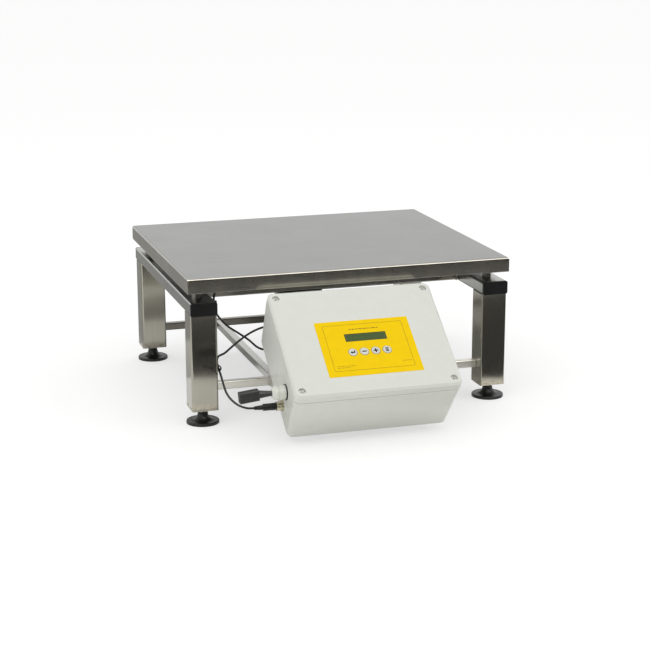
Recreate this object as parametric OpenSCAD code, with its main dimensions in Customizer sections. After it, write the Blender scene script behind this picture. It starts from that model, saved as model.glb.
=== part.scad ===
// Platform scale for animals. A stainless tray rests on a spider, which one load cell
// carries on a welded frame with four levelling feet. A tilted indicator box stands on
// two brackets in front.
// Millimetres, X to the right, Y to the back, Z up. The origin is on the floor under
// the centre of the tray.

/* [Tray] */
// Width of the tray, left to right
tray_w = 500; // [430:1:620]
// Depth of the tray, front to back
tray_d = 420; // [350:1:520]
// Height of the tray's top face above the floor
scale_h = 223; // [200:1:300]
// Depth of the tray's skirt, from the top face down
skirt_h = 22.5; // [18:0.5:28]
// Thickness of the tray's sheet
tray_t = 1.5; // [1:0.1:3]
// Outside radius of the bend round the top of the tray
tray_bend = 3.5; // [3.2:0.1:6]

/* [Spider and load cell] */
// Play between the ends of the spider and the inside of the skirt
tray_play = 5; // [3:0.5:10]
// Height of the rubber buffers under the tray
buffer_t = 4.5; // [3:0.5:8]
// Radius of the rubber buffers
buffer_r = 12; // [8:0.5:14]
// Distance of the buffers and stops from the ends of the spider's arms
buffer_inset = 30; // [20:1:60]
// Width of the spider's arms
arm_w = 30; // [26:1:40]
// Width of the spider's middle bar
spider_bar_w = 60; // [50:1:90]
// Thickness of the spider's bars
spider_t = 8; // [7:0.5:12]
// Thickness of the spacer between the spider and the load cell
spacer_t = 4; // [3:0.5:8]
// Length of the load cell
cell_l = 150; // [130:1:190]
// Width of the load cell
cell_w = 40; // [35:1:60]
// Height of the load cell
cell_h = 35; // [30:0.5:50]
// Radius of the two bores that form the load cell's flexures
cell_bore_r = 9; // [6:0.5:12]
// Thickness of the flexures left above and below the bores
flexure_t = 4; // [2:0.5:6]
// Distance between the bolts at each end of the load cell, both ways
cell_bolt_pitch = 24; // [20:1:26]
// Radius of the load cell's bolts
cell_bolt_r = 4; // [3:0.5:5]
// Height of the seat under the load cell's fixed end
cell_seat_h = 3; // [2:0.5:6]
// Thickness of the load cell's base plate
cell_base_t = 6; // [4:0.5:10]
// Way down that the loaded spider can go
spider_travel = 0.5; // [0.3:0.1:1]

/* [Frame] */
// Distance of the frame's sides inside the tray's sides
side_inset = 3; // [0:0.5:10]
// Distance of the frame's back inside the tray's back
back_inset = 10; // [0:1:30]
// Width of the square legs
leg_w = 40; // [36:1:50]
// Wall thickness of the legs
leg_t = 2; // [1.5:0.1:3]
// Width of the flat tubes of the rails and beams
rail_w = 40; // [36:1:50]
// Height of the flat tubes of the rails and beams
rail_h = 20; // [16:1:30]
// Wall thickness of the flat tubes
rail_t = 1.5; // [1:0.1:2.4]
// Outside corner radius of the leg and rail tubes
tube_r = 3; // [2.6:0.1:4]
// Distance over the outer faces of the two cross beams under the load cell
beam_span = 206; // [190:1:280]
// Width of the thin square tubes low in the frame
bar_w = 12; // [10:1:20]
// Wall thickness of the thin tubes
bar_t = 1.2; // [0.8:0.1:2]
// Height of the thin tubes' lower faces above the floor
bar_z = 47.5; // [40:0.5:80]
// Distance of each long thin tube from the middle of the scale
stretcher_x = 114; // [60:1:130]
// Height of the flange of a rail's end cap
cap_flange = 3; // [2:0.5:6]
// Depth of an end cap inside its rail
cap_depth = 15; // [8:1:25]

/* [Levelling feet] */
// Height of the legs' lower ends above the floor with the feet screwed in
foot_h = 22.5; // [20:0.5:30]
// Radius of a foot's pad
pad_r = 24.5; // [18:0.5:30]
// Height of a foot's pad with its hub
pad_h = 15.5; // [13:0.5:18]
// Radius of the threaded spindle
spindle_r = 5; // [4:0.5:6]
// Length of the spindle's thread above its collar
spindle_l = 30; // [20:1:60]
// Distance across the flats of the spindle's collar
collar_flats = 13; // [12:0.5:19]
// Radius of the ball at the spindle's lower end
ball_r = 6; // [5.5:0.1:6.5]
// Thickness of the plate that closes a leg
bush_plate_t = 4; // [3:0.5:8]
// Height of the threaded boss on that plate
bush_boss_h = 14; // [8:1:25]

/* [Indicator box] */
// Width of the box
box_w = 248; // [220:1:280]
// Height of the lid along its slope
box_h = 190; // [170:1:230]
// Depth of the box, lid face to back
box_d = 95; // [85:1:120]
// Tilt of the lid from level
box_tilt = 37; // [25:1:50]
// Sideways place of the box's middle
box_x = -16; // [-40:1:40]
// Distance of the lid's centre in front of the front bar
box_reach = 123; // [115:1:150]
// Height of the lid's centre above the underside of the front bar
box_rise = 96.5; // [90:0.5:120]
// Corner radius of the box
box_r = 9; // [6:1:14]
// Wall thickness of the box
box_t = 3; // [2:0.5:4]
// Height of the lid
lid_h = 14; // [12:0.5:24]
// Chamfer round the lid's face
lid_chamfer = 3; // [1:0.5:4]
// Thickness of the gasket between lid and base
gasket_t = 1; // [0.5:0.1:2]
// Narrowing of the base towards its back, each side
side_draft = 3.6; // [0:0.1:6]
// Narrowing of the base towards its back, upper wall
top_draft = 7; // [0:0.5:9]
// Narrowing of the base towards its back, lower wall
bottom_draft = 0.6; // [0:0.1:4]
// Distance of the lid screws from the lid's edges
lid_screw_inset = 11.5; // [10:0.5:16]
// Depth of the lid screws' recesses
lid_recess = 6; // [4:0.5:8]

/* [Front panel] */
// Width of the panel overlay
overlay_w = 140.5; // [120:0.5:170]
// Height of the panel overlay
overlay_h = 98.5; // [85:0.5:120]
// Sideways place of the overlay on the lid
overlay_x = 2; // [-10:0.5:10]
// Place of the overlay up and down the lid
overlay_y = -16.5; // [-25:0.5:0]
// Thickness of the overlay
overlay_t = 0.8; // [0.4:0.1:1.2]
// Width of the display window
window_w = 61; // [50:0.5:75]
// Height of the display window
window_h = 12.7; // [10:0.1:20]
// Height of the window's centre above the overlay's centre
window_y = 18.3; // [12:0.1:30]
// Radius of a key
key_r = 6.2; // [5:0.1:7]
// Distance from key to key
key_pitch = 17.1; // [16:0.1:22]
// Depth of the keys' centres below the overlay's centre
key_y = 7.9; // [2:0.1:20]
// Travel of a key
key_travel = 0.5; // [0.2:0.1:1]

/* [Box fittings] */
// Distance of each bracket from the middle of the box
bracket_x = 100; // [80:1:108]
// Thickness of the brackets' sheet
bracket_t = 3; // [2:0.5:5]
// Width of the bracket's flange behind the box
flange_w = 20; // [16:1:30]
// Place of the supply gland along the slope of the left wall
gland_y = -57; // [-70:0.5:-40]
// Depth of the supply gland below the lid's face
gland_z = 36; // [34:0.5:40]
// Place of the sensor socket along the slope of the left wall
socket_y = -58.5; // [-70:0.5:-40]
// Depth of the sensor socket below the lid's face
socket_z = 66; // [60:0.5:72]
// Droop of the supply connector
connector_droop = 6; // [0:1:15]

/* [Hidden] */
$fn = 48;

// Clearances
fit = 0.06;       // radial, a turning or sliding fit
loose = 0.3;      // round a piece that moves freely
slip = 0.1;       // round a plugged-in piece
hole_play = 0.3;  // radial, a bolt in its hole
stop_gap = 0.2;   // between a moving piece and its stop

// Heights in the stack under the tray
tray_under = scale_h - tray_t;
spider_top = tray_under - buffer_t;
spider_bottom = spider_top - spider_t;
cell_top = spider_bottom - spacer_t;
cell_bottom = cell_top - cell_h;
beam_bottom = cell_bottom - cell_seat_h;
rail_top = beam_bottom + rail_h;
cell_mid = cell_bottom + cell_h / 2;

// Frame outline
frame_x = tray_w / 2 - side_inset;
frame_front = -tray_d / 2;
frame_back = tray_d / 2 - back_inset;
leg_x = frame_x - leg_w / 2;
leg_front_y = frame_front + leg_w / 2;
leg_back_y = frame_back - leg_w / 2;
rail_x = frame_x - rail_w / 2;
rail_inner = frame_x - rail_w;
leg_inner = frame_x - leg_w;
bar_front_y = leg_front_y;
bar_back_y = leg_back_y - bar_w / 2;
leg_bottom = foot_h + bush_plate_t;

// Spider
arm_x = tray_w / 2 - tray_t - tray_play - arm_w / 2;
arm_l = tray_d - 2 * (tray_t + tray_play);
buffer_y = arm_l / 2 - buffer_inset;
cell_end_x = cell_l / 2 - 25;
bolt_head_r = cell_bolt_r + 2.5;
bolt_head_h = 4;
bolt_grip = 14;
cell_boot_l = 8;
cell_cable_z = cell_bottom + 18;

// Feet
ball_z = 8.2;
socket_r = ball_r + loose;
neck_r = 3.6;
hub_mouth_r = 5;
hub_r = 7.6;

// Indicator box, in the lid's own frame: X across, Y up the slope, Z out of the lid
box_y = bar_front_y - box_reach;
box_z = bar_z + box_rise;
rim_z = -(lid_h + gasket_t);
back_z = -box_d;
base_back_w = box_w - 2 * side_draft;
base_back_h = box_h - top_draft - bottom_draft;
base_back_y = (bottom_draft - top_draft) / 2;
lid_screw_x = box_w / 2 - lid_screw_inset;
lid_screw_y = box_h / 2 - lid_screw_inset;
lid_screw_r = 2;
lid_head_r = 4.6;
column_r = 7.2;
column_l = 30;
floor_z = back_z + box_t;
overlay_recess = 0.6;
overlay_r = 1;
key_top = 0.7;
key_flange_r = key_r + 1.2;
key_flange_t = 1;
key_flange_z = -box_t - stop_gap;
board_z = key_flange_z - key_flange_t - key_travel - 1.2;
board_t = 1.6;
bracket_screw_y = [5, 55];
bracket_screw_r = 2.5;
bracket_head_r = 4.5;
bracket_boss_r = 6;
boss_h = 10;

// Main board and battery
main_board_size = [110, 62, board_t];
main_board_at = [10, 45];
board_post_h = 8;
battery_size = [100, 70, 47];
battery_at = [-40, -46];
strap_w = 18;
strap_t = 1.5;

// Fittings on the left wall, measured out from the middle of the box
seat_x = box_w / 2;
seat_depth = 8;
gland_r = 10.4;
gland_l = 21;
gland_thread_r = 7.8;
gland_bore_r = 3.6;
seal_t = 2;
seal_r = 11.4;
supply_lead_r = 3.5;
boot_l = 21;
boot_r = 6.2;
connector_size = [27, 16, 12];
socket_flange_r = 8;
socket_barrel_r = 6.6;
socket_thread_r = 5.8;
socket_barrel_l = 10;
socket_bore_r = 3.5;
socket_bore_l = 6;
plug_r = 5.3;
plug_l = 19;
relief_l = 13;
relief_r1 = 3.7;
relief_r2 = 2.6;
lock_nut_t = 5;

// Load cell cable: a hand-laid route from the plug to the load cell, in stretches that are
// each measured from the piece that they pass
cable_r = 1.6;
cable_sides = 8;
plug_end = [
  box_x - seat_x - socket_barrel_l - plug_l - relief_l,
  slope_y(socket_y, -socket_z),
  slope_z(socket_y, -socket_z)
];
plug_run = [[0, 0, 0], [-11, 1, 1], [-21, 9, 4], [-27, 24, 8], [-29, 44, 12], [-27, 68, 16]];
leg_run = [
  [1, -58, 75], [4, -36, 77], [5, -20, 81], [6, -8, 88], [11, 4, 92], [23, 13, 94], [35, 18, 101],
  [49, 21, 110], [63, 23, 118], [79, 25, 124], [95, 28, 126], [109, 32, 121], [115, 37, 108],
  [109, 41, 94], [95, 43, 86], [81, 40, 91], [65, 34, 106], [47, 27, 120], [29, 19, 134]
];
rail_run = [[14, 11, -16], [8, 9, -4], [7, 10, 7], [9, 15, 17]];
rail_top_run = [[16, 26, 3], [27, 43, 4]];
beam_run = [[-85, -23, 3], [-71, 1, 3], [-55, 27, 3]];
cell_run = [[-37, -30, 1], [-21, -10, 0], [-10, -2, 0], [0, 0, 0]];
cell_cable_end = [-cell_l / 2 - cell_boot_l, 0, cell_cable_z];
cable_route = concat(
  [for (p = plug_run) plug_end + p],
  [for (p = leg_run) [-leg_inner, frame_front + leg_w, 0] + p],
  [for (p = rail_run) [-rail_inner, frame_front + leg_w, beam_bottom] + p],
  [for (p = rail_top_run) [-rail_inner, frame_front + leg_w, rail_top] + p],
  [for (p = beam_run) [cell_cable_end[0], -beam_span / 2 + rail_w / 2, rail_top] + p],
  [for (p = cell_run) cell_cable_end + p]
);
// Each clip's place on the route, the turn of its ring and the side of the tube it sits on
clips = [[8, [90, 0, 0], -leg_inner], [27, [0, 0, 0], -rail_inner]];
clip_l = 4;
clip_bore_r = 3;
clip_wall = 1.5;

// ---- Shapes that several pieces share ----

// Rectangle with round corners
module round_rect(w, h, r) {
  square([w - 2 * r, h], center = true);
  square([w, h - 2 * r], center = true);
  for (sx = [-1, 1], sy = [-1, 1])
    translate([sx * (w / 2 - r), sy * (h / 2 - r)]) circle(r);
}

// Rectangular tube along Z
module tube(w, h, t, r, l) {
  linear_extrude(l)
    difference() {
      round_rect(w, h, r);
      round_rect(w - 2 * t, h - 2 * t, r - t);
    }
}

module tube_along_x(w, h, t, r, l) {
  translate([-l / 2, 0, 0]) rotate([90, 0, 90]) tube(w, h, t, r, l);
}

module tube_along_y(w, h, t, r, y1, y2) {
  translate([0, y2, 0]) rotate([90, 0, 0]) tube(w, h, t, r, y2 - y1);
}

module at_four(x, y) {
  for (sx = [-1, 1], sy = [-1, 1]) translate([sx * x, sy * y, 0]) children();
}

module at_legs() {
  for (x = [-leg_x, leg_x], y = [leg_front_y, leg_back_y]) translate([x, y, 0]) children();
}

// Hexagon with a given distance across its flats
module hexagon(flats, h) {
  cylinder(h = h, r = flats / 2 / cos(30), $fn = 6);
}

// The frame of the box: the origin is the middle of the lid's face
module in_box() {
  translate([box_x, box_y, box_z]) rotate([box_tilt, 0, 0]) children();
}

// A fitting on the left wall, with Z pointing out and its zero in the middle of the box
module on_left_wall(y, z) {
  in_box() translate([0, y, -z]) rotate([0, -90, 0]) children();
}

// ---- Tray, spider and load cell ----

// Profile of the folded tray across one direction
module tray_profile(w, h, r) {
  translate([-w / 2 + r, 0]) square([w - 2 * r, h]);
  translate([-w / 2, 0]) square([w, h - r]);
  for (s = [-1, 1]) translate([s * (w / 2 - r), h - r]) circle(r);
}

module tray_block(w, d, h, r) {
  intersection() {
    translate([0, d / 2, 0]) rotate([90, 0, 0]) linear_extrude(d) tray_profile(w, h, r);
    translate([-w / 2, 0, 0]) rotate([90, 0, 90]) linear_extrude(w) tray_profile(d, h, r);
  }
}

module tray() {
  color("#8b8b87")
    translate([0, 0, scale_h - skirt_h])
      difference() {
        tray_block(tray_w, tray_d, skirt_h, tray_bend);
        translate([0, 0, -tray_t])
          tray_block(tray_w - 2 * tray_t, tray_d - 2 * tray_t, skirt_h, tray_bend - tray_t);
      }
}

module tray_buffers() {
  color("#26272a")
    translate([0, 0, spider_top]) at_four(arm_x, buffer_y) cylinder(h = buffer_t, r = buffer_r);
}

// Places of the bolts at one end of the load cell
module at_cell_end(side) {
  translate([side * cell_end_x, 0, 0]) at_four(cell_bolt_pitch / 2, cell_bolt_pitch / 2) children();
}

module spider_bar() {
  bar_l = 2 * arm_x - arm_w;
  color("#9a9b98")
    difference() {
      translate([-bar_l / 2, -spider_bar_w / 2, spider_bottom]) cube([bar_l, spider_bar_w, spider_t]);
      at_cell_end(1) translate([0, 0, spider_bottom - 1])
        cylinder(h = spider_t + 2, r = cell_bolt_r + hole_play);
      at_cell_end(1) translate([0, 0, spider_top - bolt_head_h - 0.5])
        cylinder(h = bolt_head_h + 1, r = bolt_head_r + hole_play);
    }
}

module spider_arm(side) {
  color("#9a9b98")
    translate([side * arm_x - arm_w / 2, -arm_l / 2, spider_bottom]) cube([arm_w, arm_l, spider_t]);
}

module spider_spacer() {
  color("#a9aaa8")
    difference() {
      translate([cell_end_x - 25, -cell_w / 2, cell_top]) cube([50, cell_w, spacer_t]);
      at_cell_end(1) translate([0, 0, cell_top - 1]) cylinder(h = spacer_t + 2, r = cell_bolt_r + hole_play);
    }
}

module spider_bolts() {
  head_z = spider_top - bolt_head_h - 0.5;
  color("#c2c3c4")
    at_cell_end(1) {
      translate([0, 0, head_z])
        difference() {
          cylinder(h = bolt_head_h, r = bolt_head_r);
          translate([0, 0, bolt_head_h / 2]) hexagon(cell_bolt_r * 1.4, bolt_head_h);
        }
      translate([0, 0, cell_top - bolt_grip]) cylinder(h = head_z - cell_top + bolt_grip, r = cell_bolt_r);
    }
}

module load_cell() {
  color("#c9ccd0")
    difference() {
      union() {
        translate([-cell_l / 2, -cell_w / 2, cell_bottom]) cube([cell_l, cell_w, cell_h]);
        translate([-cell_l / 2 - cell_boot_l, 0, cell_cable_z]) rotate([0, 90, 0])
          cylinder(h = cell_boot_l, r = 4);
      }
      for (x = [-1, 1])
        translate([x * 2 * cell_bore_r, cell_w / 2 + 1, 0]) {
          translate([0, 0, cell_mid + cell_h / 2 - flexure_t - cell_bore_r])
            rotate([90, 0, 0]) cylinder(h = cell_w + 2, r = cell_bore_r);
          translate([0, 0, cell_mid - cell_h / 2 + flexure_t + cell_bore_r])
            rotate([90, 0, 0]) cylinder(h = cell_w + 2, r = cell_bore_r);
        }
      translate([-2 * cell_bore_r, -cell_w / 2 - 1, cell_mid - 1.5]) cube([4 * cell_bore_r, cell_w + 2, 3]);
      at_cell_end(1) translate([0, 0, cell_top - bolt_grip - 2])
        cylinder(h = bolt_grip + 3, r = cell_bolt_r + fit);
      at_cell_end(-1) translate([0, 0, cell_bottom - 1]) cylinder(h = bolt_grip + 3, r = cell_bolt_r + fit);
    }
}

module cell_bolts() {
  head_z = beam_bottom - cell_base_t - bolt_head_h;
  color("#c2c3c4")
    at_cell_end(-1) {
      translate([0, 0, head_z])
        difference() {
          cylinder(h = bolt_head_h, r = bolt_head_r);
          translate([0, 0, -1]) hexagon(cell_bolt_r * 1.4, bolt_head_h / 2 + 1);
        }
      translate([0, 0, head_z + bolt_head_h])
        cylinder(h = cell_base_t + cell_seat_h + bolt_grip, r = cell_bolt_r);
    }
}

module cell_base() {
  color("#8f908d")
    difference() {
      union() {
        translate([-cell_end_x - 35, -beam_span / 2, beam_bottom - cell_base_t])
          cube([70, beam_span, cell_base_t]);
        translate([-cell_end_x - 25, -cell_w / 2, beam_bottom]) cube([50, cell_w, cell_seat_h]);
      }
      at_cell_end(-1) translate([0, 0, beam_bottom - cell_base_t - 1])
        cylinder(h = cell_base_t + cell_seat_h + 2, r = cell_bolt_r + hole_play);
    }
}

module overload_stops() {
  stop_h = spider_bottom - spider_travel - loose - rail_top;
  color("#b4b5b5")
    translate([0, 0, rail_top]) at_four(arm_x, buffer_y) {
      hexagon(13, 5);
      cylinder(h = stop_h - 4, r = 4);
      translate([0, 0, stop_h - 4]) cylinder(h = 4, r = 6);
    }
}

// ---- Frame ----

module beam(y) {
  color("#83827c")
    translate([0, y, beam_bottom + rail_h / 2]) tube_along_x(rail_w, rail_h, rail_t, tube_r, 2 * rail_inner);
}

module beam_front() { beam(-beam_span / 2 + rail_w / 2); }
module beam_rear() { beam(beam_span / 2 - rail_w / 2); }

module rail(side) {
  color("#7d7c76")
    translate([side * rail_x, 0, rail_top - rail_h / 2])
      tube_along_y(rail_w, rail_h, rail_t, tube_r, frame_front, frame_back);
}

// Push-in end caps, one at each end of both rails
module rail_caps() {
  inner_w = rail_w - 2 * rail_t - 2 * slip;
  inner_h = rail_h - 2 * rail_t - 2 * slip;
  color("#1b1c1e")
    for (x = [-rail_x, rail_x], end = [0, 1])
      translate([x, end == 0 ? frame_front : frame_back, rail_top - rail_h / 2])
        rotate([90, 0, end == 0 ? 0 : 180]) {
          linear_extrude(cap_flange) round_rect(rail_w, rail_h, tube_r);
          translate([0, 0, -cap_depth])
            linear_extrude(cap_depth)
              difference() {
                round_rect(inner_w, inner_h, tube_r - rail_t);
                round_rect(inner_w - 5, inner_h - 5, 1);
              }
        }
}

module leg(x, y) {
  color("#6f6a60")
    translate([x, y, leg_bottom]) tube(leg_w, leg_w, leg_t, tube_r, beam_bottom - leg_bottom);
}

// Plates that close the legs, each with a threaded boss for its foot
module leg_bushes() {
  color("#85847f")
    at_legs() translate([0, 0, foot_h])
      difference() {
        union() {
          linear_extrude(bush_plate_t) round_rect(leg_w, leg_w, tube_r);
          cylinder(h = bush_plate_t + bush_boss_h, r = spindle_r + 4);
        }
        translate([0, 0, -1]) cylinder(h = bush_plate_t + bush_boss_h + 2, r = spindle_r + fit);
      }
}

module crossbar(y) {
  color("#a8a79f")
    translate([0, y + bar_w / 2, bar_z + bar_w / 2])
      tube_along_x(bar_w, bar_w, bar_t, bar_t + 0.4, 2 * leg_inner);
}

module stretcher(side) {
  color("#a3a39d")
    translate([side * stretcher_x, 0, bar_z + bar_w / 2])
      tube_along_y(bar_w, bar_w, bar_t, bar_t + 0.4, bar_front_y + bar_w, bar_back_y);
}

// ---- Levelling feet ----

// Half outline of a pad: a flat disc that rises in a hollow curve to the hub
module pad_profile() {
  rise_r = pad_h - 4.5;
  difference() {
    union() {
      square([pad_r - 1.5, 4.5]);
      square([pad_r, 3]);
      translate([pad_r - 1.5, 3]) circle(1.5);
      square([hub_r + rise_r, pad_h]);
    }
    translate([hub_r + rise_r, pad_h]) circle(rise_r);
    translate([hub_r + rise_r, 4.5]) square([pad_r, pad_h]);
  }
}

module foot_pad(x, y) {
  color("#17181a")
    translate([x, y, 0])
      difference() {
        rotate_extrude() intersection() {
          pad_profile();
          square([2 * pad_r, pad_h]);
        }
        translate([0, 0, ball_z]) sphere(socket_r);
        translate([0, 0, ball_z]) cylinder(h = pad_h, r = hub_mouth_r);
      }
}

module foot_spindle(x, y) {
  collar_z = pad_h + loose;
  collar_h = foot_h - stop_gap - collar_z;
  color("#3a3b3e")
    translate([x, y, 0]) {
      translate([0, 0, ball_z]) sphere(ball_r);
      translate([0, 0, ball_z]) cylinder(h = collar_z - ball_z + 1, r = neck_r);
      translate([0, 0, collar_z]) hexagon(collar_flats, collar_h);
      translate([0, 0, collar_z + collar_h - 1]) cylinder(h = spindle_l + 1, r = spindle_r);
    }
}

// ---- Indicator box ----

// Lid-frame solid between two rounded outlines at different depths
module draft_block(w1, h1, y1, z1, w2, h2, y2, z2, r) {
  hull() {
    translate([0, y1, z1 - 0.01]) linear_extrude(0.01) round_rect(w1, h1, r, $fn = 32);
    translate([0, y2, z2]) linear_extrude(0.01) round_rect(w2, h2, r, $fn = 32);
  }
}

module at_bracket_screws() {
  for (x = [-1, 1], y = bracket_screw_y) translate([x * bracket_x, y, 0]) children();
}

module at_board_posts() {
  translate([main_board_at[0], main_board_at[1], 0])
    at_four(main_board_size[0] / 2 - 5, main_board_size[1] / 2 - 5) children();
}

module box_base() {
  color("#dadbd3")
    in_box() difference() {
      union() {
        difference() {
          draft_block(box_w, box_h, 0, rim_z, base_back_w, base_back_h, base_back_y, back_z, box_r);
          draft_block(box_w - 2 * box_t, box_h - 2 * box_t, 0, rim_z + 0.02,
            base_back_w - 2 * box_t, base_back_h - 2 * box_t, base_back_y, floor_z, box_r - box_t);
        }
        at_four(lid_screw_x, lid_screw_y)
          translate([0, 0, rim_z - column_l]) cylinder(h = column_l, r = column_r);
        at_bracket_screws() translate([0, 0, floor_z - 1]) cylinder(h = boss_h + 1, r = bracket_boss_r);
        at_board_posts() translate([0, 0, floor_z - 1]) cylinder(h = board_post_h + 1, r = 4);
        translate([0, gland_y, -gland_z]) rotate([0, -90, 0])
          translate([0, 0, seat_x - seat_depth]) cylinder(h = seat_depth, r = seal_r + 1);
        translate([0, socket_y, -socket_z]) rotate([0, -90, 0])
          translate([0, 0, seat_x - seat_depth]) cylinder(h = seat_depth, r = socket_flange_r + 2);
      }
      at_four(lid_screw_x, lid_screw_y)
        translate([0, 0, rim_z - column_l + 2]) cylinder(h = column_l, r = lid_screw_r + fit);
      at_bracket_screws() translate([0, 0, back_z - 1])
        cylinder(h = box_t + boss_h, r = bracket_screw_r + fit);
      at_board_posts() translate([0, 0, floor_z]) cylinder(h = board_post_h + 1, r = 1.5 + fit);
      translate([0, gland_y, -gland_z]) rotate([0, -90, 0])
        translate([0, 0, seat_x - seat_depth - 1]) cylinder(h = seat_depth + 2, r = gland_thread_r + slip);
      translate([0, socket_y, -socket_z]) rotate([0, -90, 0])
        translate([0, 0, seat_x - seat_depth - 1]) cylinder(h = seat_depth + 2, r = socket_thread_r + slip);
    }
}

module box_gasket() {
  color("#4a4b4c")
    in_box() translate([0, 0, rim_z])
      linear_extrude(gasket_t)
        difference() {
          round_rect(box_w - 2, box_h - 2, box_r - 1);
          round_rect(box_w - 2 * box_t, box_h - 2 * box_t, box_r - box_t);
        }
}

module at_keys() {
  for (i = [0:3])
    translate([overlay_x + (i - 1.5) * key_pitch, overlay_y - key_y, 0]) children();
}

module window_outline(grow) {
  translate([overlay_x, overlay_y + window_y])
    round_rect(window_w + 2 * grow, window_h + 2 * grow, 1);
}

module box_lid() {
  color("#dfe0d8")
    in_box() difference() {
      union() {
        difference() {
          hull() {
            translate([0, 0, -0.01]) linear_extrude(0.01)
              round_rect(box_w - 2 * lid_chamfer, box_h - 2 * lid_chamfer, box_r - lid_chamfer, $fn = 32);
            translate([0, 0, -lid_h])
              linear_extrude(lid_h - lid_chamfer) round_rect(box_w, box_h, box_r, $fn = 32);
          }
          translate([0, 0, -lid_h - 1]) linear_extrude(lid_h - box_t + 1)
            round_rect(box_w - 2 * box_t, box_h - 2 * box_t, box_r - box_t);
        }
        at_four(lid_screw_x, lid_screw_y) translate([0, 0, -lid_h]) cylinder(h = lid_h - 1, r = column_r);
      }
      at_four(lid_screw_x, lid_screw_y) {
        translate([0, 0, -lid_h - 1]) cylinder(h = lid_h + 2, r = lid_screw_r + hole_play);
        translate([0, 0, -lid_recess]) cylinder(h = lid_recess + 1, r = lid_head_r + 0.8);
      }
      translate([overlay_x, overlay_y, -overlay_recess]) linear_extrude(1)
        round_rect(overlay_w + 2 * slip, overlay_h + 2 * slip, overlay_r);
      translate([0, 0, -box_t - 1]) linear_extrude(box_t + 2) window_outline(1.6);
      at_keys() translate([0, 0, -box_t - 1]) cylinder(h = box_t + 2, r = key_r + loose);
    }
}

module lid_screws() {
  color("#b9bab8")
    in_box() at_four(lid_screw_x, lid_screw_y) {
      translate([0, 0, -lid_recess])
        difference() {
          cylinder(h = 3, r = lid_head_r);
          for (a = [0, 90]) rotate(a) translate([-2.6, -0.5, 1.6]) cube([5.2, 1, 2]);
        }
      translate([0, 0, rim_z - column_l + 4])
        cylinder(h = column_l - rim_z - lid_recess - 4, r = lid_screw_r);
    }
}

module overlay() {
  color("#f5cf10")
    in_box() difference() {
      translate([overlay_x, overlay_y, -overlay_recess])
        linear_extrude(overlay_t) round_rect(overlay_w, overlay_h, overlay_r);
      translate([0, 0, -overlay_recess - 1]) linear_extrude(overlay_t + 2) window_outline(0);
      at_keys() translate([0, 0, -overlay_recess - 1]) cylinder(h = overlay_t + 2, r = key_r + loose);
    }
}

module display_window() {
  color("#2c4a2f")
    in_box() {
      translate([0, 0, -box_t + 0.4]) linear_extrude(box_t - 0.4 - overlay_recess) window_outline(1.4);
      translate([0, 0, -overlay_recess]) linear_extrude(overlay_recess) window_outline(-slip);
    }
}

// Circuit board behind the lid, with the display module and one switch under each key
module display_board() {
  board_w = 100;
  board_h = 62;
  color("#2e6b3f")
    in_box() {
      translate([overlay_x - board_w / 2, overlay_y - key_y - 12, board_z - board_t])
        cube([board_w, board_h, board_t]);
      translate([overlay_x - 36, overlay_y + window_y - 13, board_z]) cube([72, 26, -box_t - board_z]);
      at_keys() translate([0, 0, board_z]) cylinder(h = 0.9, r = 3);
    }
}

// A key: a cap that shows through the overlay and a flange that keeps it behind the lid
module key(i) {
  color("#e6e7e6")
    in_box() translate([overlay_x + (i - 1.5) * key_pitch, overlay_y - key_y, 0]) {
      translate([0, 0, key_flange_z - key_flange_t])
        cylinder(h = key_top - key_flange_z + key_flange_t, r = key_r);
      translate([0, 0, key_flange_z - key_flange_t]) cylinder(h = key_flange_t, r = key_flange_r);
    }
}

module main_board() {
  top = floor_z + board_post_h + board_t;
  size = main_board_size;
  color("#2f7446")
    in_box() difference() {
      translate([main_board_at[0], main_board_at[1], 0]) {
        translate([-size[0] / 2, -size[1] / 2, top - board_t]) cube(size);
        translate([-40, -20, top - 0.1]) cube([16, 40, 12]);
        translate([-12, -6, top - 0.1]) cube([14, 14, 2.5]);
        translate([14, 4, top - 0.1]) cube([20, 8, 3.5]);
        translate([12, -20, top - 0.1]) cube([28, 14, 15]);
      }
      at_board_posts() translate([0, 0, floor_z]) cylinder(h = board_post_h + 4, r = 1.5 + hole_play);
    }
}

module board_screws() {
  top = floor_z + board_post_h + board_t;
  color("#c0c1c0")
    in_box() at_board_posts() {
      translate([0, 0, top]) cylinder(h = 2, r = 3);
      translate([0, 0, top - board_t - 6]) cylinder(h = board_t + 7, r = 1.5);
    }
}

module battery() {
  size = battery_size;
  color("#3b3d42")
    in_box() translate([battery_at[0], battery_at[1], floor_z]) {
      translate([-size[0] / 2, -size[1] / 2, 0]) cube(size);
      for (x = [-1, 1]) translate([x * 36 - 3, size[1] / 2 - 12, size[2] - 1]) cube([6, 0.8, 7]);
    }
}

// Strap over the battery, screwed down beside it
module battery_strap() {
  size = battery_size;
  inner = size[1] + 2 * slip;
  outer = inner + 2 * strap_t;
  color("#b5b6b4")
    in_box() translate([battery_at[0] - strap_w / 2, battery_at[1], floor_z]) {
      difference() {
        translate([0, -outer / 2, 0]) cube([strap_w, outer, size[2] + slip + strap_t]);
        translate([-1, -inner / 2, -1]) cube([strap_w + 2, inner, size[2] + slip + 1]);
      }
      translate([0, outer / 2 - 0.1, 0]) cube([strap_w, 4, strap_t]);
      translate([0, -outer / 2 - 3.9, 0]) cube([strap_w, 4, strap_t]);
    }
}

// ---- Brackets between the front bar and the box ----

// Height and depth of a point of the lid's frame in the scale's frame
function slope_y(y, z) = box_y + y * cos(box_tilt) - z * sin(box_tilt);
function slope_z(y, z) = box_z + y * sin(box_tilt) + z * cos(box_tilt);

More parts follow.
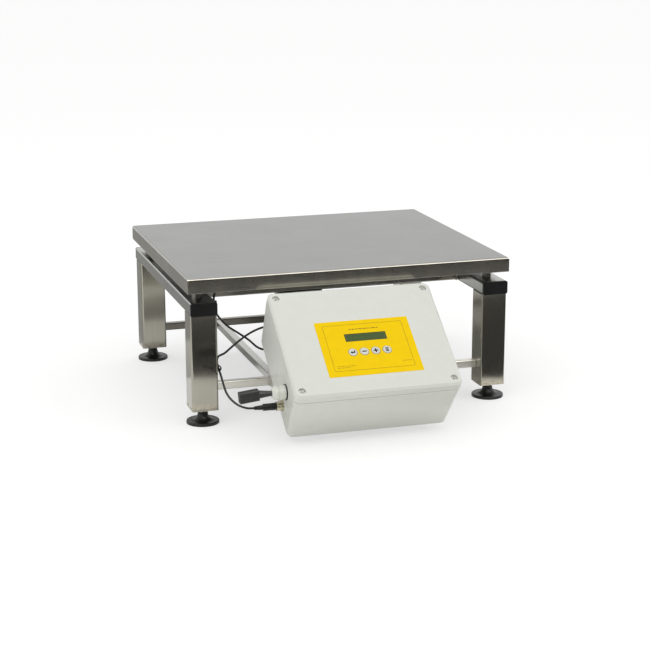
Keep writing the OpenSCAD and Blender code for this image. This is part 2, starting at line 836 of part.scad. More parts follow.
module bracket(side) {
  flange_y1 = -12;
  flange_y2 = 70;
  flange_z = back_z - bracket_t;
  inner_x = box_x + side * (bracket_x + flange_w / 2);
  color("#77756d") {
    difference() {
      in_box() translate([side * bracket_x - flange_w / 2, flange_y1, flange_z])
        cube([flange_w, flange_y2 - flange_y1, bracket_t]);
      in_box() at_bracket_screws() translate([0, 0, flange_z - 1])
        cylinder(h = bracket_t + 2, r = bracket_screw_r + hole_play);
    }
    translate([side > 0 ? inner_x - bracket_t : inner_x, 0, 0]) rotate([90, 0, 90])
      linear_extrude(bracket_t)
        polygon([
          [bar_front_y, bar_z],
          [bar_front_y, slope_z(flange_y2, flange_z)],
          [slope_y(flange_y2, flange_z), slope_z(flange_y2, flange_z)],
          [slope_y(flange_y2, back_z), slope_z(flange_y2, back_z)],
          [slope_y(flange_y1, back_z), slope_z(flange_y1, back_z)],
          [slope_y(flange_y1, flange_z), slope_z(flange_y1, flange_z)]
        ]);
  }
}

module bracket_screws() {
  flange_z = back_z - bracket_t;
  color("#c0c1c0")
    in_box() at_bracket_screws() {
      translate([0, 0, flange_z - 3])
        difference() {
          cylinder(h = 3, r = bracket_head_r);
          translate([0, 0, -1]) hexagon(3, 2.6);
        }
      translate([0, 0, flange_z - 0.5]) cylinder(h = bracket_t + boss_h - 1, r = bracket_screw_r);
    }
}

// ---- Fittings on the left wall of the box ----

module supply_gland() {
  color("#bcbdb8")
    on_left_wall(gland_y, gland_z) difference() {
      union() {
        translate([0, 0, seat_x + seal_t]) cylinder(h = 9, r = gland_r);
        translate([0, 0, seat_x + seal_t + 9]) cylinder(h = 2, r = gland_r - 1.4);
        translate([0, 0, seat_x + seal_t + 11]) cylinder(h = 4, r = gland_r - 0.4);
        translate([0, 0, seat_x + seal_t + 15])
          cylinder(h = gland_l - seal_t - 15, r1 = gland_r - 0.4, r2 = 6);
        translate([0, 0, seat_x - seat_depth - lock_nut_t - 2])
          cylinder(h = seat_depth + lock_nut_t + seal_t + 3, r = gland_thread_r);
      }
      translate([0, 0, seat_x - seat_depth - lock_nut_t - 3])
        cylinder(h = gland_l + seat_depth + lock_nut_t + 4, r = gland_bore_r);
    }
}

module gland_seal() {
  color("#202122")
    on_left_wall(gland_y, gland_z) translate([0, 0, seat_x]) difference() {
      cylinder(h = seal_t, r = seal_r);
      translate([0, 0, -1]) cylinder(h = seal_t + 2, r = gland_thread_r + slip);
    }
}

module lock_nut(bore_r, flats) {
  translate([0, 0, seat_x - seat_depth - lock_nut_t])
    difference() {
      hexagon(flats, lock_nut_t);
      translate([0, 0, -1]) cylinder(h = lock_nut_t + 2, r = bore_r + slip);
    }
}

module lock_nuts() {
  color("#a9aaa8") {
    on_left_wall(gland_y, gland_z) lock_nut(gland_thread_r, 22);
    on_left_wall(socket_y, socket_z) lock_nut(socket_thread_r, 16);
  }
}

// Supply lead's end: the lead out of the gland, its moulded boot and an in-line connector
module supply_connector() {
  size = connector_size;
  start = seat_x + gland_l;
  color("#1d1e20")
    on_left_wall(gland_y, gland_z) {
      translate([0, 0, start - 16]) cylinder(h = 17, r = supply_lead_r);
      translate([0, 0, start]) cylinder(h = boot_l, r1 = supply_lead_r, r2 = boot_r);
      rotate([0, 0, box_tilt]) translate([0, 0, start + boot_l - 2]) rotate([0, -connector_droop, 0])
        difference() {
          linear_extrude(size[0] + 1) round_rect(size[1], size[2], 2);
          translate([0, 0, size[0]]) linear_extrude(2)
            difference() {
              round_rect(size[1] - 4, size[2] - 4, 1);
              round_rect(size[1] - 7, size[2] - 8, 1);
            }
        }
    }
}

module sensor_socket() {
  color("#b7b39a")
    on_left_wall(socket_y, socket_z) difference() {
      union() {
        translate([0, 0, seat_x]) cylinder(h = 2, r = socket_flange_r);
        translate([0, 0, seat_x]) cylinder(h = socket_barrel_l, r = socket_barrel_r);
        translate([0, 0, seat_x - seat_depth - lock_nut_t - 3])
          cylinder(h = seat_depth + lock_nut_t + 4, r = socket_thread_r);
      }
      translate([0, 0, seat_x + socket_barrel_l - socket_bore_l])
        cylinder(h = socket_bore_l + 1, r = socket_bore_r);
    }
}

module sensor_plug() {
  start = seat_x + socket_barrel_l;
  color("#161719")
    on_left_wall(socket_y, socket_z) {
      translate([0, 0, start - socket_bore_l + 0.5]) cylinder(h = socket_bore_l, r = socket_bore_r - slip);
      translate([0, 0, start]) cylinder(h = 8, r = plug_r);
      translate([0, 0, start + 8]) cylinder(h = 1.5, r = plug_r - 0.8);
      translate([0, 0, start + 9.5]) cylinder(h = plug_l - 9.5, r = plug_r - 0.2);
    }
}

module plug_relief() {
  color("#1a1b1d")
    on_left_wall(socket_y, socket_z) translate([0, 0, seat_x + socket_barrel_l + plug_l])
      cylinder(h = relief_l, r1 = relief_r1, r2 = relief_r2);
}

// ---- Load cell cable ----

// Point on a smooth curve through p1 and p2, at t from 0 to 1
function curve(p0, p1, p2, p3, t) =
  0.5 * (2 * p1 + (p2 - p0) * t + (2 * p0 - 5 * p1 + 4 * p2 - p3) * t * t
    + (3 * p1 - 3 * p2 + p3 - p0) * t * t * t);

function route_point(route, i) =
  i < 0 ? 2 * route[0] - route[1]
  : i >= len(route) ? 2 * route[len(route) - 1] - route[len(route) - 2]
  : route[i];

// The route with its long stretches filled in
function smooth_route(route, steps) = [
  for (i = [0:len(route) - 2], k = [0:steps - 1])
    if (k == 0 || norm(route[i + 1] - route[i]) > 14)
      curve(route_point(route, i - 1), route[i], route[i + 1], route_point(route, i + 2), k / steps),
  route[len(route) - 1]
];

function unit(v) = v / norm(v);

function headings(p) = [
  for (i = [0:len(p) - 1]) unit(p[min(i + 1, len(p) - 1)] - p[max(i - 1, 0)])
];

// Sideways directions that turn as little as they can along the route
function sideways(t, i, n) =
  let (m = unit(n - (n * t[i]) * t[i]))
  i == len(t) - 1 ? [m] : concat([m], sideways(t, i + 1, m));

module swept_tube(route, r, sides) {
  t = headings(route);
  n = sideways(t, 0, [0, 0, 1]);
  rings = len(route);
  points = [
    for (i = [0:rings - 1], k = [0:sides - 1])
      let (a = 360 * k / sides, side = n[i], up = cross(t[i], side))
      route[i] + r * (cos(a) * side + sin(a) * up)
  ];
  walls = [
    for (i = [0:rings - 2], k = [0:sides - 1])
      let (a = i * sides + k, b = i * sides + (k + 1) % sides)
      each [[a, a + sides, b], [b, a + sides, b + sides]]
  ];
  ends = [
    [for (k = [0:sides - 1]) k],
    [for (k = [sides - 1:-1:0]) (rings - 1) * sides + k]
  ];
  polyhedron(points, concat(walls, ends), convexity = 10);
}

module cell_cable() {
  color("#1c1d1f")
    swept_tube(smooth_route(cable_route, 2), cable_r, cable_sides);
}

// Clips on the front left leg and rail, each a ring round the cable on a foot
module cable_clips() {
  color("#141516")
    for (clip = clips) {
      at = cable_route[clip[0]];
      difference() {
        union() {
          translate(at) rotate(clip[1]) cylinder(h = clip_l, r = clip_bore_r + clip_wall, center = true);
          translate([clip[2], at[1] - clip_l / 2, at[2] - clip_l / 2])
            cube([at[0] - clip[2], clip_l, clip_l]);
        }
        translate(at) rotate(clip[1]) cylinder(h = 3 * clip_l, r = clip_bore_r, center = true);
      }
    }
}

tray();
tray_buffers();
spider_bar();
spider_arm(-1);  // spider_arm_left
spider_arm(1);  // spider_arm_right
spider_spacer();
spider_bolts();
load_cell();
cell_bolts();
cell_base();
overload_stops();
beam_front();
beam_rear();
rail(-1);  // rail_left
rail(1);  // rail_right
rail_caps();
leg(-leg_x, leg_front_y);  // leg_front_left
leg(leg_x, leg_front_y);  // leg_front_right
leg(-leg_x, leg_back_y);  // leg_rear_left
leg(leg_x, leg_back_y);  // leg_rear_right
leg_bushes();
crossbar(bar_front_y);  // crossbar_front
crossbar(bar_back_y);  // crossbar_rear
stretcher(-1);  // stretcher_left
stretcher(1);  // stretcher_right
foot_pad(-leg_x, leg_front_y);  // foot_pad_front_left
foot_pad(leg_x, leg_front_y);  // foot_pad_front_right
foot_pad(-leg_x, leg_back_y);  // foot_pad_rear_left
foot_pad(leg_x, leg_back_y);  // foot_pad_rear_right
foot_spindle(-leg_x, leg_front_y);  // foot_spindle_front_left
foot_spindle(leg_x, leg_front_y);  // foot_spindle_front_right
foot_spindle(-leg_x, leg_back_y);  // foot_spindle_rear_left
foot_spindle(leg_x, leg_back_y);  // foot_spindle_rear_right
bracket(-1);  // bracket_left
bracket(1);  // bracket_right
bracket_screws();
box_base();
box_gasket();
box_lid();
lid_screws();
overlay();
display_window();
display_board();
key(0);  // key_enter
key(1);  // key_minus
key(2);  // key_plus
key(3);  // key_menu
main_board();
board_screws();
battery();
battery_strap();
supply_gland();
gland_seal();
supply_connector();
sensor_socket();
lock_nuts();
sensor_plug();
plug_relief();
cell_cable();
cable_clips();
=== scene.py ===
import math
import random

import bmesh
import bpy
from mathutils import Matrix, Vector


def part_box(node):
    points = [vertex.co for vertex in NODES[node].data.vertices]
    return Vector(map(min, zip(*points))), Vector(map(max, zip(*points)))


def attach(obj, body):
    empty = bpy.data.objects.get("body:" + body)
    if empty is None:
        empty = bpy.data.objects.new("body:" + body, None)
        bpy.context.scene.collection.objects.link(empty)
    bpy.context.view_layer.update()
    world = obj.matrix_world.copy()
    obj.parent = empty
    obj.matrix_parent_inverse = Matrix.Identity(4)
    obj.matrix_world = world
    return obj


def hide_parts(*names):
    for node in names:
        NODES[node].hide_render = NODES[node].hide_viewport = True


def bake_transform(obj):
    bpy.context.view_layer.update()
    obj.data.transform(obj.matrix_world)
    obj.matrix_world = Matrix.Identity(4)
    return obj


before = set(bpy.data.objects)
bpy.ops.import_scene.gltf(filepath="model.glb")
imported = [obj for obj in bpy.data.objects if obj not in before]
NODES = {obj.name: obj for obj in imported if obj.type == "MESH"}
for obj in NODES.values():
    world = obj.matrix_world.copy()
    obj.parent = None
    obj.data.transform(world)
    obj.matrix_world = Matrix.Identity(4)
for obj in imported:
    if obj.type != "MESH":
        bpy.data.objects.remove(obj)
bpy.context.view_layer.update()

ROOT = "frame"
MM = 0.001


# ---- Camera ----

CAMERA_AT = Vector((-0.7535, -2.5218, 0.7672))
CAMERA_YAW = 0.298
CAMERA_PITCH = 0.254
CAMERA_ROLL = -0.002
LENS = 93.33
SENSOR = 36


def make_camera():
    data = bpy.data.cameras.new("camera")
    data.sensor_width = SENSOR
    data.lens = LENS
    data.clip_start = 0.05
    data.clip_end = 60
    cam = bpy.data.objects.new("camera", data)
    bpy.context.scene.collection.objects.link(cam)
    flat = math.cos(CAMERA_PITCH)
    forward = Vector((math.sin(CAMERA_YAW) * flat, math.cos(CAMERA_YAW) * flat,
                      -math.sin(CAMERA_PITCH)))
    right = Vector((math.cos(CAMERA_YAW), -math.sin(CAMERA_YAW), 0))
    up = right.cross(forward)
    side = right * math.cos(CAMERA_ROLL) + up * math.sin(CAMERA_ROLL)
    top = up * math.cos(CAMERA_ROLL) - right * math.sin(CAMERA_ROLL)
    cam.rotation_mode = "QUATERNION"
    cam.rotation_quaternion = Matrix((side, top, -forward)).transposed().to_quaternion()
    cam.location = CAMERA_AT
    bpy.context.scene.camera = cam


make_camera()


# ---- Cable from the sensor plug to the load cell ----

CABLE_D = 3.2 * MM
CABLE_STEPS = 6
# Millimetres, the same points as the cable's route in the CAD source
CABLE_ROUTE = [
    (-182, -320, 56), (-193, -319, 57), (-203, -311, 60), (-209, -296, 64), (-211, -276, 68),
    (-209, -252, 72), (-206, -228, 75), (-203, -206, 77), (-202, -190, 81), (-201, -178, 88),
    (-196, -166, 92), (-184, -157, 94), (-172, -152, 101), (-158, -149, 110), (-144, -147, 118),
    (-128, -145, 124), (-112, -142, 126), (-98, -138, 121), (-92, -133, 108), (-98, -129, 94),
    (-112, -127, 86), (-126, -130, 91), (-142, -136, 106), (-160, -143, 120), (-178, -151, 134),
    (-193, -159, 151), (-199, -161, 163), (-200, -160, 174), (-198, -155, 184), (-191, -144, 190),
    (-180, -127, 191), (-168, -106, 190), (-154, -82, 190), (-138, -56, 190), (-120, -30, 189),
    (-104, -10, 188), (-93, -2, 188), (-83, 0, 188),
]


def curve_point(p0, p1, p2, p3, t):
    """A point at share t between p1 and p2 of a Catmull-Rom curve."""
    return 0.5 * (2 * p1 + (p2 - p0) * t + (2 * p0 - 5 * p1 + 4 * p2 - p3) * t * t
                  + (3 * p1 - 3 * p2 + p3 - p0) * t * t * t)


def smooth_path(points, steps):
    """Points on a smooth curve through the given ones, steps to a stretch."""
    p = [2 * points[0] - points[1], *points, 2 * points[-1] - points[-2]]
    path = [curve_point(*p[i : i + 4], k / steps)
            for i in range(len(points) - 1) for k in range(steps)]
    return [*path, points[-1]]


def make_cable():
    path = smooth_path([Vector(p) * MM for p in CABLE_ROUTE], CABLE_STEPS)
    data = bpy.data.curves.new("load_cell_cable", "CURVE")
    data.dimensions = "3D"
    # Each point's radius is the sheath's, so the bevel itself is 1
    data.bevel_depth = 1
    data.bevel_resolution = 4
    data.use_fill_caps = True
    line = data.splines.new("POLY")
    line.points.add(len(path) - 1)
    for point, at in zip(line.points, path):
        point.co = (*at, 1)
        point.radius = CABLE_D / 2
    line.use_smooth = True
    cable = bpy.data.objects.new("load_cell_cable", data)
    bpy.context.scene.collection.objects.link(cable)
    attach(cable, ROOT)
    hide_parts("cell_cable")
    return cable


cable = make_cable()


# ---- Materials ----

# Scale of the grain along an axis and across it
AXES = {"X": (0.02, 1, 1), "Y": (1, 0.02, 1), "Z": (1, 1, 0.02)}
NOISE_ROUGHNESS = 0.55
# Noise runs mostly between these two values
NOISE_LOW = 0.3
NOISE_HIGH = 0.7


class Surface:
    """A material on the shader's sockets, with colour, roughness and height built up in layers."""

    def __init__(self, name, colour, roughness, metallic=0.0, **sockets):
        self.material = bpy.data.materials.new(name)
        self.material.use_nodes = True
        self.tree = self.material.node_tree
        self.shader = self.tree.nodes["Principled BSDF"]
        self.shader.inputs["Metallic"].default_value = metallic
        for socket, value in sockets.items():
            self.shader.inputs[socket.replace("_", " ")].default_value = value
        self.colour = self.constant_colour(colour)
        self.roughness = self.constant(roughness)
        self.normal = None
        self.place = self.node("ShaderNodeTexCoord").outputs["Object"]

    def node(self, kind, inputs=(), **properties):
        made = self.tree.nodes.new(kind)
        for name, value in properties.items():
            setattr(made, name, value)
        for name, value in dict(inputs).items():
            if isinstance(value, bpy.types.NodeSocket):
                self.tree.links.new(value, made.inputs[name])
            else:
                made.inputs[name].default_value = value
        return made

    def constant(self, value):
        made = self.node("ShaderNodeValue")
        made.outputs[0].default_value = value
        return made.outputs[0]

    def constant_colour(self, colour):
        made = self.node("ShaderNodeRGB")
        made.outputs[0].default_value = (*colour, 1)
        return made.outputs[0]

    def stretched(self, scale, axis=None):
        """Object coordinates in units of 1/scale metres, drawn out along any axis given."""
        along = AXES[axis] if axis else (1, 1, 1)
        return self.node("ShaderNodeVectorMath", {0: self.place, 1: [scale * a for a in along]},
                         operation="MULTIPLY").outputs[0]

    def noise(self, scale, detail, axis=None):
        inputs = {"Vector": self.stretched(scale, axis), "Scale": 1.0, "Detail": detail,
                  "Roughness": NOISE_ROUGHNESS}
        return self.node("ShaderNodeTexNoise", inputs).outputs["Fac"]

    def spots(self, scale, size):
        """1 in small round spots, 0 elsewhere."""
        inputs = {"Vector": self.stretched(scale), "Scale": 1.0, "Randomness": 1.0}
        cell = self.node("ShaderNodeTexVoronoi", inputs)
        return self.remap(cell.outputs["Distance"], size, size * 0.5)

    def remap(self, value, low, high, to_low=0.0, to_high=1.0):
        inputs = {"Value": value, "From Min": low, "From Max": high,
                  "To Min": to_low, "To Max": to_high}
        return self.node("ShaderNodeMapRange", inputs).outputs["Result"]

    def maths(self, operation, a, b=0.0):
        return self.node("ShaderNodeMath", {0: a, 1: b}, operation=operation).outputs[0]

    def tint(self, mask, colour, share):
        """Mixes in a share of a colour where a mask is 1."""
        part = self.maths("MULTIPLY", mask, share)
        mixed = self.node("ShaderNodeMix", {0: part, 6: self.colour, 7: (*colour, 1)},
                          data_type="RGBA", blend_type="MIX")
        self.colour = mixed.outputs[2]

    def vary(self, mask, low, high):
        """Multiplies the colour by a number between low and high."""
        factor = self.remap(mask, NOISE_LOW, NOISE_HIGH, low, high)
        mixed = self.node("ShaderNodeMix", {0: 1.0, 6: self.colour, 7: factor},
                          data_type="RGBA", blend_type="MULTIPLY")
        self.colour = mixed.outputs[2]

    def rough(self, mask, low, high):
        """Adds a number between low and high to the roughness."""
        change = self.remap(mask, NOISE_LOW, NOISE_HIGH, low, high)
        self.roughness = self.maths("ADD", self.roughness, change)

    def bump(self, height, depth, strength):
        inputs = {"Height": height, "Distance": depth, "Strength": strength}
        if self.normal:
            inputs["Normal"] = self.normal
        self.normal = self.node("ShaderNodeBump", inputs).outputs["Normal"]

    def edges(self, radius):
        """1 on sharp edges, 0 on flat faces."""
        soft = self.node("ShaderNodeBevel", {"Radius": radius}, samples=4).outputs[0]
        hard = self.node("ShaderNodeNewGeometry").outputs["Normal"]
        level = self.node("ShaderNodeVectorMath", {0: soft, 1: hard}, operation="DOT_PRODUCT")
        return self.remap(level.outputs["Value"], 0.98, 0.75)

    def facing(self, axis):
        """1 on faces across an axis of the object, 0 on the others."""
        normal = self.node("ShaderNodeTexCoord").outputs["Normal"]
        parts = self.node("ShaderNodeSeparateXYZ", {0: normal})
        size = self.maths("ABSOLUTE", parts.outputs["XYZ".index(axis)])
        return self.remap(size, 0.6, 0.8)

    def height_above_floor(self):
        return self.node("ShaderNodeSeparateXYZ", {0: self.place}).outputs[2]

    def done(self):
        links = self.tree.links
        links.new(self.colour, self.shader.inputs["Base Color"])
        links.new(self.roughness, self.shader.inputs["Roughness"])
        if self.normal:
            links.new(self.normal, self.shader.inputs["Normal"])
        return self.material


def brushed_steel(name, colour, roughness, axis, cross_axis=None, grain=2600, contrast=0.10,
                  smudges=0.045):
    """Stainless steel ground along one axis, and along a second one on the faces across it."""
    s = Surface(name, colour, roughness, metallic=1.0)
    lines = s.noise(grain, 4, axis)
    broad = s.noise(grain / 7, 3, axis)
    if cross_axis:
        across = s.facing(axis)
        cross_lines = s.noise(grain, 4, cross_axis)
        cross_broad = s.noise(grain / 7, 3, cross_axis)
        lines = s.node("ShaderNodeMix", {0: across, 2: lines, 3: cross_lines}).outputs[0]
        broad = s.node("ShaderNodeMix", {0: across, 2: broad, 3: cross_broad}).outputs[0]
    s.vary(lines, 1 - contrast, 1 + contrast)
    s.vary(broad, 1 - contrast / 2, 1 + contrast / 2)
    s.rough(lines, -0.05, 0.06)
    smudge = s.noise(9, 4)
    s.rough(smudge, -smudges / 2, smudges)
    s.vary(smudge, 1 + smudges / 2, 1 - smudges)
    s.bump(lines, 0.00006, 0.3)
    s.bump(s.noise(14, 2), 0.0012, 0.08)
    return s


def tray_material():
    s = brushed_steel("tray_brushed_steel", (0.295, 0.299, 0.289), 0.14, "X", "Y",
                      contrast=0.045, smudges=0.02)
    top = s.facing("Z")
    s.roughness = s.maths("ADD", s.roughness, s.maths("MULTIPLY", top, 0.2))
    # The skirt faces get a warmer tone and lighter vertical bands than the top: painted
    # reflection.
    skirt = s.maths("SUBTRACT", 1.0, top)
    skirt_reflection_bands = s.remap(s.noise(38, 3, "Z"), 0.35, 0.65)
    s.tint(skirt, (0.345, 0.325, 0.275), share=0.85)
    s.tint(s.maths("MULTIPLY", skirt, skirt_reflection_bands), (0.56, 0.53, 0.46), share=0.35)
    fleck = s.spots(75, 0.15)
    rare = s.remap(s.noise(17, 2), 0.50, 0.58)
    s.tint(s.maths("MULTIPLY", fleck, rare), (0.13, 0.115, 0.09), share=0.6)
    scratch = s.remap(s.noise(700, 2, "Y"), 0.70, 0.76)
    s.rough(scratch, 0.0, 0.12)
    s.tint(scratch, (0.62, 0.61, 0.58), share=0.25)
    scuff = s.remap(s.noise(420, 4, "X"), 0.60, 0.70)
    worn = s.remap(s.noise(11, 2), 0.50, 0.62)
    s.tint(s.maths("MULTIPLY", scuff, worn), (0.17, 0.16, 0.14), share=0.45)
    # Near-white tint along the bends and edges: painted highlight.
    s.tint(s.edges(0.0026), (0.97, 0.95, 0.88), share=0.95)
    return s.done()


def leg_material():
    """The legs' steel, lighter and warmer in patches near the lower ends."""
    s = brushed_steel("leg_brushed_steel", (0.385, 0.370, 0.315), 0.12, "Z",
                      grain=3600, contrast=0.05)
    # Lighter and warmer in patches between 24 and 40 mm above the floor.
    lower_end = s.remap(s.height_above_floor(), 0.040, 0.024)
    patchy = s.maths("MULTIPLY", lower_end, s.remap(s.noise(120, 3), 0.4, 0.6))
    s.tint(patchy, (0.60, 0.53, 0.40), share=0.55)
    s.tint(s.edges(0.001), (0.78, 0.75, 0.68), share=0.4)
    return s.done()


def steel_material(name, colour, roughness, axis):
    s = brushed_steel(name, colour, roughness, axis)
    s.tint(s.edges(0.0008), (0.74, 0.73, 0.69), share=0.3)
    return s.done()


def mill_steel(name, colour, roughness):
    """Plain plate or turned metal with a fine grey tone."""
    s = Surface(name, colour, roughness, metallic=1.0)
    s.vary(s.noise(300, 4), 0.88, 1.08)
    s.vary(s.noise(40, 3), 0.93, 1.05)
    s.rough(s.noise(220, 3), -0.06, 0.08)
    s.bump(s.noise(1800, 3), 0.00005, 0.4)
    s.tint(s.edges(0.0006), (0.8, 0.79, 0.75), share=0.4)
    return s.done()


def moulded(name, colour, roughness, grain=1500, depth=0.00005, edge_wear_and_highlight=(0.0, (1, 1, 1)),
            edge=0.0008, dirt=0.0, **sockets):
    """Moulded plastic or rubber with a fine grain, lighter edges and a little dirt.

    The edge tint gives a share and a lighter colour for the edges: edge wear, and on the box a
    painted highlight.
    """
    s = Surface(name, colour, roughness, **sockets)
    s.vary(s.noise(60, 4), 0.985, 1.012)
    s.vary(s.noise(grain / 2, 2), 0.97, 1.03)
    s.rough(s.noise(45, 4), -0.05, 0.06)
    s.rough(s.noise(grain / 3, 2), -0.03, 0.03)
    if dirt:
        s.tint(s.remap(s.noise(26, 5), 0.5, 0.72), (0.42, 0.40, 0.34), share=dirt)
    if edge_wear_and_highlight[0]:
        s.tint(s.edges(edge), edge_wear_and_highlight[1], share=edge_wear_and_highlight[0])
    s.bump(s.noise(grain, 3), depth, 0.6)
    return s.done()


def overlay_material():
    s = Surface("overlay_yellow_film", (0.92, 0.62, 0.0005), 0.45, Specular_IOR_Level=0.07)
    s.vary(s.noise(70, 3), 0.97, 1.03)
    s.vary(s.noise(2500, 2), 0.985, 1.015)
    s.rough(s.noise(60, 4), -0.05, 0.08)
    s.bump(s.noise(3000, 2), 0.00003, 0.5)
    return s.done()


def window_material():
    s = Surface("display_window_green", (0.07, 0.118, 0.025), 0.2, Specular_IOR_Level=0.3)
    s.vary(s.noise(90, 3), 0.9, 1.08)
    s.vary(s.noise(2200, 1), 0.95, 1.05)
    s.rough(s.noise(50, 3), -0.04, 0.06)
    return s.done()


BLACK_WEAR = (0.35, (0.10, 0.10, 0.10))
MATERIALS = {
    "tray_steel": tray_material(),
    "leg_steel": leg_material(),
    "rail_steel": steel_material("rail_brushed_steel", (0.355, 0.355, 0.33), 0.18, "Y"),
    # The bars' steel is made far lighter than the rest of the frame: painted light.
    "bar_steel": steel_material("bar_steel_painted_light", (0.88, 0.865, 0.79), 0.34, "X"),
    "bracket_steel": steel_material("bracket_steel_sheet", (0.50, 0.49, 0.46), 0.32, "Y"),
    "spider_steel": steel_material("spider_steel_plate", (0.27, 0.26, 0.24), 0.38, "Y"),
    "cell_aluminium": steel_material("load_cell_aluminium", (0.66, 0.66, 0.65), 0.35, "X"),
    "fastener_steel": mill_steel("fastener_zinc", (0.55, 0.54, 0.51), 0.3),
    # Near-black steel for the spindles under the legs.
    "spindle_steel": mill_steel("spindle_blackened_steel", (0.075, 0.073, 0.07), 0.34),
    "cap_plastic": moulded("cap_black_plastic", (0.008, 0.008, 0.008), 0.42, edge_wear_and_highlight=BLACK_WEAR,
                           Specular_IOR_Level=0.35),
    "foot_plastic": moulded("foot_black_plastic", (0.009, 0.009, 0.008), 0.38, edge_wear_and_highlight=BLACK_WEAR,
                            Specular_IOR_Level=0.4),
    "buffer_rubber": moulded("buffer_rubber", (0.02, 0.02, 0.02), 0.8, grain=900, depth=0.0001),
    # The box's lighter edges along the lid's chamfer and rim are a painted highlight.
    "box_plastic": moulded("box_grey_plastic", (0.70, 0.715, 0.655), 0.33,
                           edge_wear_and_highlight=(0.6, (0.90, 0.91, 0.86)), edge=0.002, dirt=0.035),
    "gasket_rubber": moulded("gasket_rubber", (0.10, 0.10, 0.095), 0.7),
    "overlay_film": overlay_material(),
    "window_plastic": window_material(),
    "key_plastic": moulded("key_grey_plastic", (0.66, 0.66, 0.60), 0.38,
                           edge_wear_and_highlight=(0.4, (0.8, 0.8, 0.76))),
    "board_laminate": moulded("board_green_laminate", (0.02, 0.09, 0.035), 0.35),
    "battery_plastic": moulded("battery_black_plastic", (0.025, 0.025, 0.027), 0.5),
    "gland_plastic": moulded("gland_grey_plastic", (0.72, 0.73, 0.66), 0.36,
                             edge_wear_and_highlight=(0.3, (0.8, 0.8, 0.76))),
    "seal_rubber": moulded("seal_black_rubber", (0.015, 0.015, 0.015), 0.6),
    "connector_plastic": moulded("connector_black_plastic", (0.032, 0.032, 0.031), 0.45,
                                 edge_wear_and_highlight=BLACK_WEAR),
    "socket_metal": mill_steel("socket_nickel", (0.56, 0.51, 0.38), 0.26),
    "cable_sheath": moulded("cable_black_sheath", (0.016, 0.016, 0.016), 0.45, grain=2000),
}
ALONG_X = steel_material("beam_brushed_steel", (0.32, 0.312, 0.285), 0.2, "X")
# Darker copies of the frame's steel for the rear bar and the stretchers: painted shade.
REAR_BAR_PAINTED_SHADE = steel_material("rear_bar_painted_shade", (0.19, 0.182, 0.155), 0.22, "X")
STRETCHER_PAINTED_SHADE = steel_material("stretcher_painted_shade", (0.44, 0.437, 0.41), 0.22, "Y")
STOP_STEEL = mill_steel("stop_dark_steel", (0.27, 0.26, 0.235), 0.34)
PLUG_PLASTIC = moulded("plug_black_plastic", (0.012, 0.012, 0.012), 0.42, edge_wear_and_highlight=BLACK_WEAR,
                       Specular_IOR_Level=0.4)
# Nodes that differ from the rest of their slot; the rear bar and the stretchers are darker copies
# of the steel, painted shade
BY_NODE = {
    "beam_front": ALONG_X, "beam_rear": ALONG_X, "crossbar_rear": REAR_BAR_PAINTED_SHADE,
    "stretcher_left": STRETCHER_PAINTED_SHADE, "stretcher_right": STRETCHER_PAINTED_SHADE, "overload_stops": STOP_STEEL,
    "sensor_plug": PLUG_PLASTIC, "plug_relief": PLUG_PLASTIC,
}

for name, node in NODES.items():
    slot = node.material_slots[0]
    slot.material = BY_NODE.get(name) or MATERIALS[slot.material.name.split(".")[0]]
cable.data.materials.append(MATERIALS["cable_sheath"])


# ---- Pieces built here ----

def add_piece(name, bm, body, material, smooth=35):
    """Turns a bmesh into a piece on a body, with edges over an angle in degrees kept sharp."""
    bmesh.ops.recalc_face_normals(bm, faces=bm.faces)
    mesh = bpy.data.meshes.new(name)
    bm.to_mesh(mesh)
    bm.free()
    for face in mesh.polygons:
        face.use_smooth = True
    mesh.set_sharp_from_angle(angle=math.radians(smooth))
    mesh.materials.append(material)
    made = bpy.data.objects.new(name, mesh)
    bpy.context.scene.collection.objects.link(made)
    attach(made, body)
    return made


def sweep(bm, path, radii, sides, closed):
    """A tube along a path, with a radius for each point."""
    rings = []
    count = len(path)
    upright = abs((path[1] - path[0]).normalized().z) >= 0.9
    side = Vector((1, 0, 0)) if upright else Vector((0, 0, 1))
    for i, at in enumerate(path):
        after = path[(i + 1) % count] if closed else path[min(i + 1, count - 1)]
        before = path[i - 1] if closed or i else path[0]
        along = (after - before).normalized()
        side = (side - along * side.dot(along)).normalized()
        other = along.cross(side)
        turns = [2 * math.pi * k / sides for k in range(sides)]
        rings.append([bm.verts.new(at + radii[i] * (math.cos(a) * side + math.sin(a) * other))
                      for a in turns])
    for i in range(count if closed else count - 1):
        low, high = rings[i], rings[(i + 1) % count]
        for k in range(sides):
            bm.faces.new((low[k], low[(k + 1) % sides], high[(k + 1) % sides], high[k]))
    if not closed:
        bm.faces.new(rings[0])
        bm.faces.new(rings[-1])


# Welds: a rippled bead round each tube where it meets the next

BEAD_R = 0.9 * MM
BEAD_SIDES = 6
RIPPLE = 1.1 * MM
# How far the beads' middles lie inside the outline: of a tube's end, a leg's top and a leg's sides
TUBE_IN = 0.2 * MM
TOP_IN = 0.4 * MM
SIDE_IN = 0.1 * MM
# The short welds of the legs' end plates: half their length and their middles from the corner
TACK_HALF = 4 * MM
TACK_AT = 9 * MM


